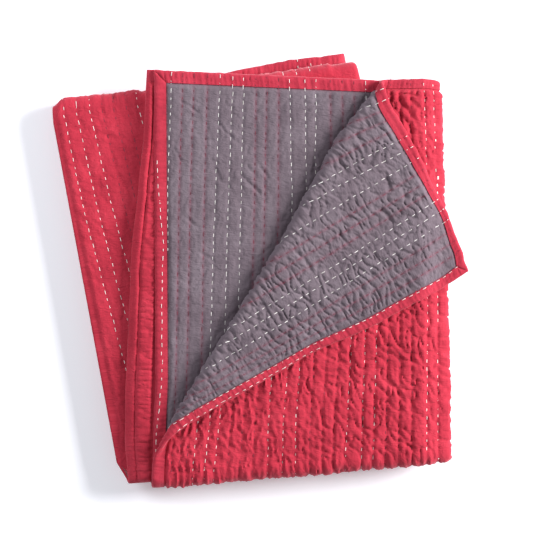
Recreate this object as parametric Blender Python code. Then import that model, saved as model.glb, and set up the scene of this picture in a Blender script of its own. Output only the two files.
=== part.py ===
"""A kantha quilt of two cotton cloths, bound in the colour of its face.

It is cut flat, folded in half twice across its width, laid back and forth in four along its
length, and one corner of the top layer is turned back to show the lining cloth. Each piece
starts flat, at its real size, and goes through the same folds, in the order of the hands.

Flat: X runs across the quilt and Y along it, from the end that comes to lie on top to the end
that comes to lie on the floor. The back cloth is up. Folded: +Z is up, and the origin is in the
middle of the bottom.
"""

import math
from collections import namedtuple

import bmesh
import bpy
from mathutils import Matrix, Vector

# The flat quilt, in metres.
WIDTH = 1.316
LENGTH = 1.735
BINDING = 0.0135
CLOTH = 0.0010
CLOTH_GAP = 0.0004
PIECE_GAP = 0.0003
LAYER = 0.0029
QUILT = 2 * CLOTH + CLOTH_GAP
UNDER = (LAYER - QUILT) / 2
EDGE_ROUND = 0.0008
MITRE_GAP = 0.75 * PIECE_GAP

# The folded bundle: where the creases run, and how far the folds stray from straight. Places
# in plan are measured from the middle of the photo's box, and build() centres the bundle.
QUARTER = 0.3211
TOP_CORNER = Vector((-0.1158, 0.2200, 0.0))
TOP_TURN = -0.6
CORNER_PULL = Vector((0.022, 0.022, 0.0))
CORNER_REACH = 0.436
END_SLOPE = -0.035
END_REACH = 0.15
FLAP_ROLL = 0.0055
FLAP_CLEAR = 0.0052
FLAP_SETTLE = 0.090
BEND_STEPS = 6
EASE_STEPS = 2

# The rows of running stitch, which draw the two cloths into low ridges: their pitch and height,
# how much the height varies and over what lengths, how often they are cut across, and how far
# they take to fade out where they are covered.
ROW = 0.014
RIDGE = 0.0014
RIDGE_VARIES = 0.25
WANDER_ACROSS = 0.103
WANDER_ALONG = 0.170
WANDER_SWAY = 9
CROSS = 0.075
FADE = 0.030

# The long edge of the length beneath that the top length covers: its place at the middle of the
# bundle, and how much it leans.
COVER = -0.136
COVER_LEAN = 0.045

# The top edges of the bundle are rounder and lower than its middle.
SINK = 0.20
SINK_WIDTH = 0.030
SINK_LEFT = -0.150
SINK_RIGHT = 0.206

# A crease turns over what lies to the left of its direction. Only cloth with less than
# free_x and free_y in the flat quilt is free to move. The four creases of the bundle are
# placed where the photo shows them, and the one at the floor is hidden.
Crease = namedtuple("Crease", "name x y turn layers under free_x free_y")
HALVES = (
    Crease("spine", WIDTH / 2, 0.0, -90.0, 1, 0, WIDTH, LENGTH),
    Crease("quarter", QUARTER, 0.0, -90.0, 2, 0, WIDTH, LENGTH),
)
LENGTHS = (
    Crease("floor_turn", 0.0200, -0.2130, 187.5, 4, 0, WIDTH, LENGTH),
    Crease("head_turn", -0.0583, 0.2046, 7.8, 4, 4, WIDTH, 1.080),
    Crease("foot_turn", 0.0450, -0.2228, 185.3, 4, 8, WIDTH, 0.640),
)
FLAP = Crease("corner", 0.0114, 0.0065, 58.8, 1, 15, 0.300, 0.432)

# How the four-layer strip strays along its length: its half width, the bound edges, which
# reach further out or less far than the spine, and its middle.
Station = namedtuple("Station", "along wider edges aside")
STATIONS = (
    Station(0.000, -0.0080, 0.011, 0.000),
    Station(0.436, 0.0080, -0.010, 0.000),
    Station(0.874, -0.0010, 0.000, -0.012),
    Station(1.300, -0.0080, 0.000, 0.036),
    Station(1.760, -0.0080, 0.000, 0.036),
)

# The ridged areas of a cloth's outer face: those that show. The rows start at from_x, and beside
# the spine they start a little clear of its middle.
Ridges = namedtuple("Ridges", "name cloth from_x rows from_y to_y")
SPINE_CLEAR = 0.002
RIDGED = (
    Ridges("top", "face_cloth", BINDING, 22, BINDING, 0.4550),
    Ridges("flap", "back_cloth", BINDING, 17, BINDING, 0.4300),
    Ridges("under_flap", "back_cloth", WIDTH - BINDING, -17, BINDING, 0.4300),
    Ridges("lower", "face_cloth", WIDTH / 2 - SPINE_CLEAR, -8, 0.4600, 0.8900),
)

# How near a point may be to a cut, to the edge of an area, and to the limit of the free cloth,
# and still count as on it.
CUT_NEAR = 1e-7
AREA_NEAR = 1e-5
FREE_NEAR = 1e-4

# A face whose normal is this close to straight up or down is the cloth's broad side. Edges
# sharper than the angle stay crisp.
BROAD = 0.9
CRISP = math.radians(50)

Material = namedtuple("Material", "name colour roughness")
RED = Material("red cotton", (0.58, 0.045, 0.075, 1.0), 0.9)
GREY = Material("grey cotton", (0.19, 0.165, 0.195, 1.0), 0.9)
TRIM = Material("red cotton binding", (0.55, 0.04, 0.07, 1.0), 0.9)


X_AXIS = Vector((1.0, 0.0, 0.0))
Y_AXIS = Vector((0.0, 1.0, 0.0))


def smooth(t):
    """0 below 0, 1 above 1, and a soft step between."""
    t = min(max(t, 0.0), 1.0)
    return t * t * (3 - 2 * t)


def eased(t, steps):
    """The same soft step in straight pieces, so that cloth cut at their ends stays flat between."""
    k = min(math.floor(min(max(t, 0.0), 1.0) * steps), steps - 1)
    low, high = smooth(k / steps), smooth((k + 1) / steps)
    return low + (high - low) * min(max(t * steps - k, 0.0), 1.0)


def away(crease):
    """The direction across a crease, towards the cloth that it turns over."""
    turn = math.radians(crease.turn)
    return Vector((-math.sin(turn), math.cos(turn), 0.0))


def beyond(crease, point):
    """How far a point is past a crease, on the side that is turned over."""
    return (point - Vector((crease.x, crease.y, point.z))).dot(away(crease))


def mirrored(crease):
    """The plan of a fold: a mirror in the crease."""
    place = Matrix.Translation((crease.x, crease.y, 0.0))
    turn = Matrix.Rotation(math.radians(crease.turn), 4, "Z")
    flip = Matrix.Diagonal((1.0, -1.0, 1.0, 1.0))
    return place @ turn @ flip @ turn.inverted() @ place.inverted()


def strip_on(panel):
    """The plan of the strip on its first (floor), second, third or fourth (top) length."""
    plan = (
        Matrix.Translation(TOP_CORNER)
        @ Matrix.Rotation(math.radians(TOP_TURN), 4, "Z")
        @ Matrix.Diagonal((1.0, -1.0, 1.0, 1.0))
    )
    for crease in reversed(LENGTHS[panel - 1 :]):
        plan = mirrored(crease) @ plan
    return plan


# ---------------------------------------------------------------- flat pieces


def slab(x0, x1, y0, y1, z0, z1):
    """A flat closed piece between the given sides."""
    bm = bmesh.new()
    bmesh.ops.create_cube(bm, size=1.0)
    bmesh.ops.scale(bm, verts=bm.verts, vec=(x1 - x0, y1 - y0, z1 - z0))
    middle = ((x0 + x1) / 2, (y0 + y1) / 2, (z0 + z1) / 2)
    bmesh.ops.translate(bm, verts=bm.verts, vec=middle)
    return bm


def cloth_flat(bottom):
    """One of the two cloths, up to the binding's inner edge."""
    inset = BINDING + PIECE_GAP
    return slab(inset, WIDTH - inset, inset, LENGTH - inset, bottom, bottom + CLOTH)


def mitred_strip(length):
    """A strip of binding along X, its folded edge at Y = 0 and its sewn edge at Y = BINDING."""
    bm = slab(0.0, length, 0.0, BINDING, UNDER, UNDER + QUILT)
    for v in bm.verts:
        end = 1 if v.co.x < length / 2 else -1
        v.co.x += end * (v.co.y + MITRE_GAP)
    folded_edge = [e for e in bm.edges if all(v.co.y < EDGE_ROUND for v in e.verts)]
    long_edges = [e for e in folded_edge if e.calc_length() > length / 2]
    bmesh.ops.bevel(
        bm, geom=long_edges, offset=EDGE_ROUND, segments=2, profile=0.5, affect="EDGES"
    )
    return bm


def binding_flat(length, corner, turn):
    """A mitred strip of binding laid along one side of the flat quilt."""
    bm = mitred_strip(length)
    place = Matrix.Translation((*corner, 0.0)) @ Matrix.Rotation(math.radians(turn), 4, "Z")
    bmesh.ops.transform(bm, matrix=place, verts=bm.verts)
    return bm


# ------------------------------------------------------------- rows and ridges


def all_faces(bm):
    """Every face of a piece."""
    return list(bm.faces)


def cut_lines(bm, faces_of, normal, first, step, count):
    """Cuts the chosen faces along evenly spaced lines."""
    for k in range(count + 1):
        faces = faces_of(bm)
        edges = {e for f in faces for e in f.edges}
        verts = {v for f in faces for v in f.verts}
        bmesh.ops.bisect_plane(
            bm,
            geom=[*faces, *edges, *verts],
            dist=CUT_NEAR,
            plane_co=normal * (first + k * step),
            plane_no=normal,
        )
        bm.normal_update()


def shows(area, x, y):
    """1 where an area of ridges lies open in the folded bundle, fading to 0 under what covers it."""
    if area.name == "lower":
        place = strip_on(3) @ Vector((2 * QUARTER - x, y, 0.0))
        return smooth((COVER + COVER_LEAN * place.y - place.x) / FADE)
    across = WIDTH - x if area.name == "under_flap" else x
    turned = beyond(FLAP, strip_on(4) @ Vector((across, y, 0.0)))
    if area.name == "top":
        return smooth(-turned / FADE)
    return smooth((turned - FLAP_ROLL) / FADE)


def uneven(x, y):
    """How high a ridge stands at a place, as a share of the highest: it wanders, as handwork does."""
    sway = WANDER_SWAY * math.sin(math.tau * y / WANDER_ALONG)
    wander = math.sin(math.tau * x / WANDER_ACROSS + sway)
    return 1 - RIDGE_VARIES + RIDGE_VARIES * wander


def raise_ridges(bm, area, surface, outward):
    """Cuts the rows of an area into a cloth's outer face and raises the cloth between them.

    A sewn row stays at the surface, and the points at the edge of the area do too.
    """
    step = math.copysign(ROW / 2, area.rows)
    to_x = area.from_x + 2 * step * abs(area.rows)
    low_x, high_x = sorted((area.from_x, to_x))
    bands = round((area.to_y - area.from_y) / CROSS)

    def outer_faces(mesh):
        return [f for f in mesh.faces if f.normal.z * outward > BROAD]

    def inside(value, low, high, slack):
        return low - slack < value < high + slack

    def faces_in_columns(mesh):
        return [
            f
            for f in outer_faces(mesh)
            if all(inside(v.co.x, low_x, high_x, AREA_NEAR) for v in f.verts)
        ]

    def faces_of_area(mesh):
        return [
            f
            for f in faces_in_columns(mesh)
            if all(inside(v.co.y, area.from_y, area.to_y, AREA_NEAR) for v in f.verts)
        ]

    cut_lines(bm, outer_faces, X_AXIS, low_x, high_x - low_x, 1)
    cut_lines(bm, faces_in_columns, Y_AXIS, area.from_y, area.to_y - area.from_y, 1)
    cut_lines(bm, faces_of_area, X_AXIS, low_x, abs(step), 2 * abs(area.rows))
    band = (area.to_y - area.from_y) / bands
    cut_lines(bm, faces_of_area, Y_AXIS, area.from_y, band, bands)
    for v in {v for f in faces_of_area(bm) for v in f.verts}:
        x, y, z = v.co
        within_x = inside(x, low_x, high_x, -AREA_NEAR)
        within_y = inside(y, area.from_y, area.to_y, -AREA_NEAR)
        if within_x and within_y and abs(z - surface) < AREA_NEAR:
            crest = abs(math.sin(math.pi * (x - area.from_x) / ROW))
            v.co.z += outward * RIDGE * crest * uneven(x, y) * shows(area, x, y)


# ---------------------------------------------------------------------- folds


def remember_flat(bm):
    """Stores each point's place in the flat quilt, which later cuts carry on."""
    flat_x = bm.verts.layers.float.new("flat_x")
    flat_y = bm.verts.layers.float.new("flat_y")
    for v in bm.verts:
        v[flat_x], v[flat_y] = v.co.x, v.co.y


def free_to_move(bm, crease):
    """A test for the points of the cloth that a fold takes along."""
    flat_x = bm.verts.layers.float["flat_x"]
    flat_y = bm.verts.layers.float["flat_y"]

    def moves(v):
        return v[flat_x] < crease.free_x + FREE_NEAR and v[flat_y] < crease.free_y + FREE_NEAR

    return moves


def fold(bm, crease, roll=None, clear=None):
    """Turns the cloth beyond a crease up and over, on to what lies before it.

    The cloth bends about an axis at the top of the layers that turn, or half the roll above
    them where the bend is a loose one, and then comes down to clear what it lies on.
    """
    top = (crease.under + crease.layers) * LAYER
    mean = roll or crease.layers * LAYER / 2
    axis = top if roll is None else top - LAYER / 2 + roll
    lowered = 0.0 if clear is None else 2 * roll - clear
    start = -math.pi * mean / 2
    moves = free_to_move(bm, crease)
    across = away(crease)
    cuts = [start + math.pi * mean * k / BEND_STEPS for k in range(BEND_STEPS + 1)]
    if clear is not None:
        cuts += [cuts[-1] + FLAP_SETTLE * k / EASE_STEPS for k in range(1, EASE_STEPS + 1)]
    for at in cuts:
        faces = [f for f in bm.faces if any(moves(v) for v in f.verts)]
        edges = {e for f in faces for e in f.edges}
        verts = {v for f in faces for v in f.verts}
        bmesh.ops.bisect_plane(
            bm,
            geom=[*faces, *edges, *verts],
            dist=CUT_NEAR,
            plane_co=Vector((crease.x, crease.y, 0.0)) + across * at,
            plane_no=across,
        )
    for v in bm.verts:
        distance = beyond(crease, v.co)
        if distance > start and moves(v):
            arc = distance - start
            angle = min(arc / mean, math.pi)
            past = max(arc - math.pi * mean, 0.0)
            radius = axis - v.co.z
            reached = start + radius * math.sin(angle) - past
            v.co += across * (reached - distance)
            drop = lowered * eased(past / FLAP_SETTLE, EASE_STEPS)
            v.co.z = axis - radius * math.cos(angle) - drop


def stray(bm):
    """Lets the four-layer strip stray from straight along its length, as hands fold it."""
    spine = 2 * QUARTER - WIDTH / 2
    middle = (spine + QUARTER) / 2
    half = (QUARTER - spine) / 2
    flat_x = bm.verts.layers.float["flat_x"]
    for v in bm.verts:
        y = min(max(v.co.y, 0.0), STATIONS[-1].along)
        after = next(i for i, s in enumerate(STATIONS[1:], 1) if y <= s.along)
        a, b = STATIONS[after - 1], STATIONS[after]
        t = (y - a.along) / (b.along - a.along)
        wider, edges, aside = (p + t * (q - p) for p, q in zip(a[1:], b[1:]))
        v.co.y -= END_SLOPE * v.co.x * (1 - smooth(v.co.y / END_REACH))
        bound = abs(v[flat_x] - WIDTH / 2) > WIDTH / 2 - QUARTER
        out = max(1 - v.co.x / QUARTER, 0.0) if bound else 0.0
        v.co.x += wider * (v.co.x - middle) / half - edges * out + aside


def pull_corner(bm):
    """The corner that is turned back has been pulled out of square."""
    cut_lines(bm, all_faces, X_AXIS, QUARTER, 0.0, 0)
    for y in (END_REACH / 2, END_REACH, *(s.along for s in STATIONS[1:-1])):
        cut_lines(bm, all_faces, Y_AXIS, y, 0.0, 0)
    for v in bm.verts:
        near = max(1 - v.co.x / QUARTER, 0.0) * max(1 - v.co.y / CORNER_REACH, 0.0)
        v.co += CORNER_PULL * near


def sink(bm):
    """Rounds the bundle down towards its two long sides, where nothing pads it."""
    for side, inward in ((SINK_LEFT, 1), (SINK_RIGHT, -1)):
        cut_lines(bm, all_faces, X_AXIS, side, inward * SINK_WIDTH / EASE_STEPS, EASE_STEPS)
    for v in bm.verts:
        inside = min(v.co.x - SINK_LEFT, SINK_RIGHT - v.co.x)
        v.co.z *= 1 - SINK * (1 - eased(inside / SINK_WIDTH, EASE_STEPS))


def fold_up(bm):
    """Takes one flat piece through every fold of the bundle."""
    remember_flat(bm)
    pull_corner(bm)
    for crease in HALVES:
        fold(bm, crease)
    stray(bm)
    bmesh.ops.transform(bm, matrix=strip_on(1), verts=bm.verts)
    for crease in LENGTHS:
        fold(bm, crease)
    fold(bm, FLAP, roll=FLAP_ROLL, clear=FLAP_CLEAR)
    bmesh.ops.translate(bm, verts=bm.verts, vec=(0.0, 0.0, -UNDER))
    sink(bm)


# --------------------------------------------------------------------- pieces


def clear_scene():
    """Removes what is in the scene."""
    for old in list(bpy.data.objects):
        bpy.data.objects.remove(old, do_unlink=True)


def material(spec):
    """A plain cotton in one colour."""
    made = bpy.data.materials.new(spec.name)
    made.use_nodes = True
    shader = made.node_tree.nodes["Principled BSDF"]
    shader.inputs["Base Color"].default_value = spec.colour
    shader.inputs["Roughness"].default_value = spec.roughness
    shader.inputs["Metallic"].default_value = 0.0
    return made


def add_piece(name, bm, look, collection):
    """Puts a finished piece into the collection as one object."""
    mesh = bpy.data.meshes.new(name)
    bm.to_mesh(mesh)
    bm.free()
    mesh.shade_smooth()
    mesh.set_sharp_from_angle(angle=CRISP)
    mesh.materials.append(look)
    piece = bpy.data.objects.new(name, mesh)
    collection.objects.link(piece)
    return piece


def cloth_piece(name, bottom, outward, look, collection):
    """A cloth with its ridges, folded up."""
    bm = cloth_flat(bottom)
    surface = bottom if outward < 0 else bottom + CLOTH
    for area in RIDGED:
        if area.cloth == name:
            raise_ridges(bm, area, surface, outward)
    fold_up(bm)
    return add_piece(name, bm, look, collection)


def binding_piece(name, length, corner, turn, look, collection):
    """A strip of binding, folded up with the quilt."""
    bm = binding_flat(length, corner, turn)
    fold_up(bm)
    return add_piece(name, bm, look, collection)


def centre_on_origin(pieces):
    """Moves the bundle in plan so that the origin is in the middle of its bottom."""
    points = [v.co for piece in pieces for v in piece.data.vertices]
    middle = [(min(p[k] for p in points) + max(p[k] for p in points)) / 2 for k in (0, 1)]
    for piece in pieces:
        piece.data.transform(Matrix.Translation((-middle[0], -middle[1], 0.0)))


def build():
    clear_scene()
    quilt = bpy.data.collections.new("kantha_quilt")
    bpy.context.scene.collection.children.link(quilt)
    red, grey, trim = material(RED), material(GREY), material(TRIM)
    above = UNDER + CLOTH + CLOTH_GAP
    pieces = [
        cloth_piece("face_cloth", UNDER, -1, red, quilt),
        cloth_piece("back_cloth", above, 1, grey, quilt),
        binding_piece("binding_top_end", WIDTH, (0.0, 0.0), 0, trim, quilt),
        binding_piece("binding_inner_side", LENGTH, (WIDTH, 0.0), 90, trim, quilt),
        binding_piece("binding_floor_end", WIDTH, (WIDTH, LENGTH), 180, trim, quilt),
        binding_piece("binding_turned_side", LENGTH, (0.0, LENGTH), -90, trim, quilt),
    ]
    centre_on_origin(pieces)


build()
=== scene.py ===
"""The looks of a folded kantha quilt: puckered cotton, hand-sewn rows and a soft studio.

Each cloth and each strip of binding is laid flat at its real size, drawn up along its sewn rows,
and then taken through the same folds as its solid. The stitches are laid on the flat cloth too,
and go through the folds with it.
"""

import math
from collections import namedtuple

import bmesh
import bpy
from mathutils import Matrix, Vector, noise


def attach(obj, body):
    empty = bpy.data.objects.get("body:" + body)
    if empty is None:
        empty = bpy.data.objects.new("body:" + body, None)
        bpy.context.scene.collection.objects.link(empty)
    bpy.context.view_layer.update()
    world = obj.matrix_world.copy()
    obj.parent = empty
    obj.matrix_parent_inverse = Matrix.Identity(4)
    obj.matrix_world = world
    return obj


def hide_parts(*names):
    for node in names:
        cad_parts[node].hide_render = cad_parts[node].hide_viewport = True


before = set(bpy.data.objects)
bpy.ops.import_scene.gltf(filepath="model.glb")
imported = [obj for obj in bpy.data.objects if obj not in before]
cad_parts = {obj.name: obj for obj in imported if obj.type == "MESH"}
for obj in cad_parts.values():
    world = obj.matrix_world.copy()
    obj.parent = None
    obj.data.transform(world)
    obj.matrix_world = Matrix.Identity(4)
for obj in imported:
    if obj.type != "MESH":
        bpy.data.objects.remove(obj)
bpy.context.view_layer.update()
MM = 0.001

# ---- the folded quilt
# The flat quilt and its folds, as the solids have them.
WIDTH = 1.316
LENGTH = 1.735
BINDING = 0.0135
CLOTH = 0.0010
CLOTH_GAP = 0.0004
LAYER = 0.0029
QUILT = 2 * CLOTH + CLOTH_GAP
UNDER = (LAYER - QUILT) / 2
EDGE_ROUND = 0.0008
MITRE_LAP = 0.0001
TUCK = 0.0004
FACE_SURFACE = UNDER
BACK_SURFACE = UNDER + QUILT

QUARTER = 0.3211
TOP_CORNER = Vector((-0.1158, 0.2200, 0.0))
TOP_TURN = -0.6
CORNER_PULL = Vector((0.022, 0.022, 0.0))
CORNER_REACH = 0.436
END_SLOPE = -0.035
END_REACH = 0.15
FLAP_ROLL = 0.0055
FLAP_CLEAR = 0.0052
FLAP_SETTLE = 0.090
BEND_STEPS = 10
EASE_STEPS = 6

SINK = 0.20
SINK_WIDTH = 0.030
SINK_LEFT = -0.150
SINK_RIGHT = 0.206
CENTRE = Vector((-0.0008, -0.0002, 0.0))

Crease = namedtuple("Crease", "name x y turn layers under free_x free_y")
ALL = 10.0
HALVES = (
    Crease("spine", WIDTH / 2, 0.0, -90.0, 1, 0, ALL, ALL),
    Crease("quarter", QUARTER, 0.0, -90.0, 2, 0, ALL, ALL),
)
LENGTHS = (
    Crease("floor_turn", 0.0200, -0.2130, 187.5, 4, 0, ALL, ALL),
    Crease("head_turn", -0.0583, 0.2046, 7.8, 4, 4, ALL, 1.080),
    Crease("foot_turn", 0.0450, -0.2228, 185.3, 4, 8, ALL, 0.640),
)
FLAP = Crease("corner", 0.0114, 0.0065, 58.8, 1, 15, 0.300, 0.432)

Station = namedtuple("Station", "along wider edges aside")
STATIONS = (
    Station(0.000, -0.0080, 0.011, 0.000),
    Station(0.436, 0.0080, -0.010, 0.000),
    Station(0.874, -0.0010, 0.000, -0.012),
    Station(1.300, -0.0080, 0.000, 0.036),
    Station(1.760, -0.0080, 0.000, 0.036),
)

# How far out a line bows that would else be straight, at places along it: the crest of the turned
# corner along its crease, the ends and sides of the flat quilt, the head (along X) and the foot
# (along Y) of the lengths that lie out at the left, and the spine of the top length. The "narrow"
# ones tell how much of a binding has rolled under.
Bow = namedtuple("Bow", "along out")


def bows(*pairs):
    """A line's bows, each a place along it and how far out the line lies there."""
    return tuple(Bow(*pair) for pair in pairs)


CREST = bows(
    (-0.26, 0), (-0.2, 0.002), (-0.06, 0.002), (0.03, 0.0025), (0.08, 0.004), (0.16, 0.007),
    (0.23, 0),
)
TOP_END = bows(
    (0, 0), (0.033, 0.0044), (0.077, 0.0076), (0.111, 0.0062), (0.145, 0.0072), (0.18, 0.0056),
    (0.222, 0.0028), (0.25, 0.0055), (0.3, 0.005), (0.345, 0),
)
TOP_END_NARROW = bows(
    (0, 0), (0.03, 0.004), (0.07, 0.006), (0.11, 0.0052), (0.145, 0.0018), (0.222, 0.0008),
    (0.25, 0.0035), (0.32, 0.0035), (0.35, 0),
)
TURNED_SIDE = bows(
    (0, 0), (0.035, 0.0045), (0.114, 0.002), (0.215, -0.007), (0.347, -0.0075), (0.44, 0),
)
TURNED_SIDE_NARROW = bows((0, 0), (0.03, 0.003), (0.39, 0.003), (0.44, 0))
INNER_SIDE = bows((-0.02, 0), (0, -0.004), (0.33, -0.004), (0.42, -0.001), (0.445, 0))
FLOOR_END = bows((0.31, 0), (0.34, 0.001), (0.385, 0.004), (0.44, 0.0035), (0.5, 0))
LEFT_HEAD = bows(
    (-0.232, 0), (-0.2275, -0.002), (-0.217, 0.0055), (-0.19, 0.0035), (-0.1625, 0.001),
    (-0.14, 0.002), (-0.129, 0),
)
LEFT_FOOT = bows((-0.2245, 0), (-0.2125, 0.0078), (-0.198, 0.005), (-0.179, 0))
TOP_SPINE = bows(
    (0.075, 0), (0.126, 0.003), (0.2, 0.0076), (0.29, 0.007), (0.35, 0.0072), (0.4, 0.0055),
    (0.455, 0),
)

# How far into the cloth these bows reach, and where they set in and are full in the bundle.
CREST_REACH = 0.080
CREST_CUT = 0.030
DRAWN_REACH = 0.110
SIDE_REACH = 0.050
SPINE_REACH = 0.045
LEFT_HEAD_FULL = 0.170
LEFT_FOOT_FROM = -0.118
LEFT_FOOT_FULL = -0.150
HEAD_ASIDE = Vector((0.0050, 0.0020, 0.0))
HEAD_FROM = 0.020
HEAD_FULL = 0.095

# Along the flat quilt, where the lengths beneath begin to bulge at their foot and to bow at their
# head, and where the length on the floor begins, which doesn't stray to the right.
BULGE_FROM = 0.440
HEAD_BOWS_FROM = 0.600
FLOOR_LENGTH = 1.300

# ---- the puckers
# Cloth that shows is drawn in cells of a row's width and finely divided. Four kinds of folds make
# up the puckers: gathers across the rows, wrinkles along them and aslant, and long creases. A fine
# crinkle lies over them all.
ROW = 0.014
Mix = namedtuple("Mix", "gathers upright aslant creases")
Zone = namedtuple(
    "Zone", "name cloth sewing from_x rows from_y to_y height fine mix", defaults=(None,)
)
ZONES = (
    Zone("top", "face_cloth", "turned", BINDING, 23, BINDING, 0.4700, 0.0052, 9,
         Mix(0.10, 0.34, 0.46, 0.10)),
    Zone("flap", "back_cloth", "turned", BINDING, 17, BINDING, 0.4300, 0.0046, 11,
         Mix(0.66, 0.06, 0.12, 0.16)),
    Zone("under_flap", "back_cloth", "inner", WIDTH - BINDING, -17, BINDING, 0.4300, 0.0028, 9,
         Mix(0.26, 0.12, 0.14, 0.48)),
    Zone("lower", "face_cloth", "spine", WIDTH / 2 - 0.002, -8, 0.4700, 0.8900, 0.0034, 7,
         Mix(0.10, 0.10, 0.20, 0.60)),
    Zone("spine", "face_cloth", "spine", WIDTH / 2, 2, BINDING, 0.4550, 0.0026, 10),
    Zone("front_fold", "face_cloth", "turned", BINDING, 21, 1.2860, 1.3200, 0.0030, 8,
         Mix(0.20, 0.30, 0.30, 0.20)),
    Zone("head_fold", "face_cloth", "spine", WIDTH / 2 - 0.116, -14, 0.8610, 0.8870, 0.0028, 6,
         Mix(0.20, 0.30, 0.30, 0.20)),
)
OPEN_ZONES = ("spine", "floor", "head_fold")
FLOOR_ZONE = Zone("floor", "face_cloth", "floor", 0.33, 8, 1.70, 1.7350, 0.0010, 1, ZONES[0].mix)

# How puckers fade at a zone's rim and under what covers it: the upper lengths over the lower ones,
# the turned corner over the top one, and the surface below under the front fold. A main crease
# dips a little below the flat cloth.
RIM = 0.005
FADE = 0.012
COVER = -0.136
COVER_LEAN = 0.045
FLAP_COVERS = 0.030
FLAP_BEGINS = -0.010
UNDER_FLAP_BEGINS = -0.002
FRONT_UNDER = 1.3164
FRONT_LEAN = 0.0513
FRONT_FADE = 0.005
DIP = 0.0006

# Each kind's width and length, how far it leans from the rows in degrees, and how narrow its
# valleys are. Wrinkles lie aslant far from the quilt's sides, and along the rows near them.
Kind = namedtuple("Kind", "wide long lean sharp")
GATHER = Kind(0.0068, 0.021, 86.0, 0.20)
UPRIGHT = Kind(0.0076, 0.026, 4.0, 0.15)
ASLANT = Kind(0.0092, 0.023, 30.0, 0.13)
CREASE = Kind(0.0150, 0.050, 38.0, 0.07)
CRINKLE = Kind(0.0058, 0.013, 24.0, 0.15)
CRINKLED = 0.22
ASLANT_FROM = 0.090
ASLANT_OVER = 0.140

# The kinds sway and change in patches of these sizes, and lie on a low swell.
SWAY = 0.006
SWAY_PATCH = 0.018
SIDE = 0.007
SIDE_PATCH = 0.024
LIVELY_PATCH = 0.045
SWELL = 0.070
FOLDS_SHARE = 0.72
SWELL_SHARE = 0.18

# A sewn row holds the cloth down over this width, and twice as much in the middle of a stitch.
HELD_WIDTH = 0.0019
HELD_PATCH = 0.020
HELD = 0.35

# The main creases: where each starts and ends in the flat quilt and how wide and how deep it is,
# in millimetres. Those with a minus sign are ridges.
Ruck = namedtuple("Ruck", "x0 y0 x1 y1 wide deep")
RUCK_WANDER = 1.6
RUCK_WANDER_LONG = 9.0
SHOULDER = 0.4


def rucks(*places):
    """The main creases of one zone."""
    return tuple(Ruck(*place) for place in places)


RUCKS = {
    "lower": rucks(
        (642, 859, 612, 849, 2, 1.6), (612, 849, 582, 837, 2.2, 2.2),
        (597, 829, 577, 815, 2.4, 1.8), (653, 781, 633, 769, 2, 1.5), (601, 805, 589, 775, 2.6, 2),
        (574, 869, 567, 847, 2.4, 1.8), (650, 609, 643, 585, 2.2, 1.6),
        (654, 565, 647, 535, 2.2, 1.6),
    ),
    "under_flap": rucks(
        (1287, 33, 1263, 46, 1.6, 1.8), (1293, 87, 1282, 104, 1.6, 1.6),
        (1245, 54, 1222, 76, 1.8, 1.9), (1197, 101, 1184, 120, 1.7, 1.7),
        (1220, 110, 1193, 138, 2, 1.9), (1267, 198, 1246, 212, 1.8, 1.6),
        (1211, 102, 1199, 115, 1.6, 1.5), (1231, 125, 1224, 138, 1.6, 1.4),
        (1282, 160, 1265, 175, 1.7, 1.6),
    ),
    "flap": rucks(
        (190, 79, 165, 79, 2.2, 2.6), (207, 47, 175, 51, 2.4, 2.4), (219, 32, 198, 35, 2.2, 2.2),
        (161, 121, 144, 113, 2, 1.9), (152, 43, 128, 48, 2.4, 3), (121, 65, 95, 61, 2.4, 2.8),
        (140, 164, 126, 156, 2, 1.9), (118, 118, 95, 115, 2, 2.4), (67, 34, 44, 31, 2.4, 2.4),
        (121, 170, 91, 163, 2.2, 2.4), (132, 36, 108, 36, 2.4, 2.6), (176, 62, 150, 66, 3.4, -1.6),
    ),
    "top": rucks(
        (214, 298, 218, 326, 2.2, 2.6), (245, 277, 256, 301, 2.2, 2.2),
        (268, 298, 292, 324, 2.4, 2.6), (290, 331, 305, 343, 2.2, 2.4),
        (254, 332, 277, 365, 2.4, 2.6), (276, 354, 289, 375, 2.2, 2.2),
        (268, 404, 291, 419, 2.4, 2.6), (99, 394, 110, 381, 2.6, -2), (89, 386, 101, 407, 2.2, 2),
        (162, 337, 173, 355, 2.4, 2), (181, 372, 189, 395, 2.2, 1.8),
        (159, 391, 171, 418, 2.4, 2.4), (271, 20, 283, 38, 2.4, 2.6), (279, 45, 291, 63, 2.4, 2.6),
        (287, 25, 304, 41, 2.4, 2.4),
    ),
}

# The fold of the upper layers that shows at the left: a groove runs along it, with long waves at
# one side of it and pleats at the other.
GROOVE = 0.0098
GROOVE_WIDTH = 0.0011
GROOVE_WANDER = 0.0009
GROOVE_WANDER_LONG = 0.040
WAVE_WIDE = 0.012
WAVE_LONG = 0.030
FOLD_PLEAT_LONG = 0.020
FOLD_PLEAT_SHARP = 0.12
FOLD_PLEATED = 0.65
FOLD_SHOWS = 0.0255
FOLD_FADE = 0.0030
SPINE_FADE = 0.0020

# The bindings: the pitch of their pleats and how sharp and deep they are, how far a binding stands
# out in its middle and at its sewn edge, how its mitres and folded edge run, and in how many parts
# it is divided.
PLEAT = 0.0058
PLEAT_SHARP = 0.11
PLEATED = 0.60
PLEAT_LEAN = 0.15
TRIM_HEIGHT = 0.0022
TRIM_LIP = 0.80
TRIM_FADE = 0.010
MITRE_FADE = 0.002
MITRE_LOW = 0.25
EDGE_WAVE = 0.0009
EDGE_WAVE_LONG = 0.009
TRIM_LINES = 6
TRIM_FINE = 10

# A long crease in the top end's binding, on its grey side: where it starts and ends along the
# strip, how far over from the folded edge it lies, and its width and depth.
TRIM_CREASE_START = 0.110
TRIM_CREASE_END = 0.245
TRIM_CREASE_FADE = 0.020
TRIM_CREASE_OVER = 0.0066
TRIM_CREASE_WIDTH = 0.0011
TRIM_CREASE_DEPTH = 0.85

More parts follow.
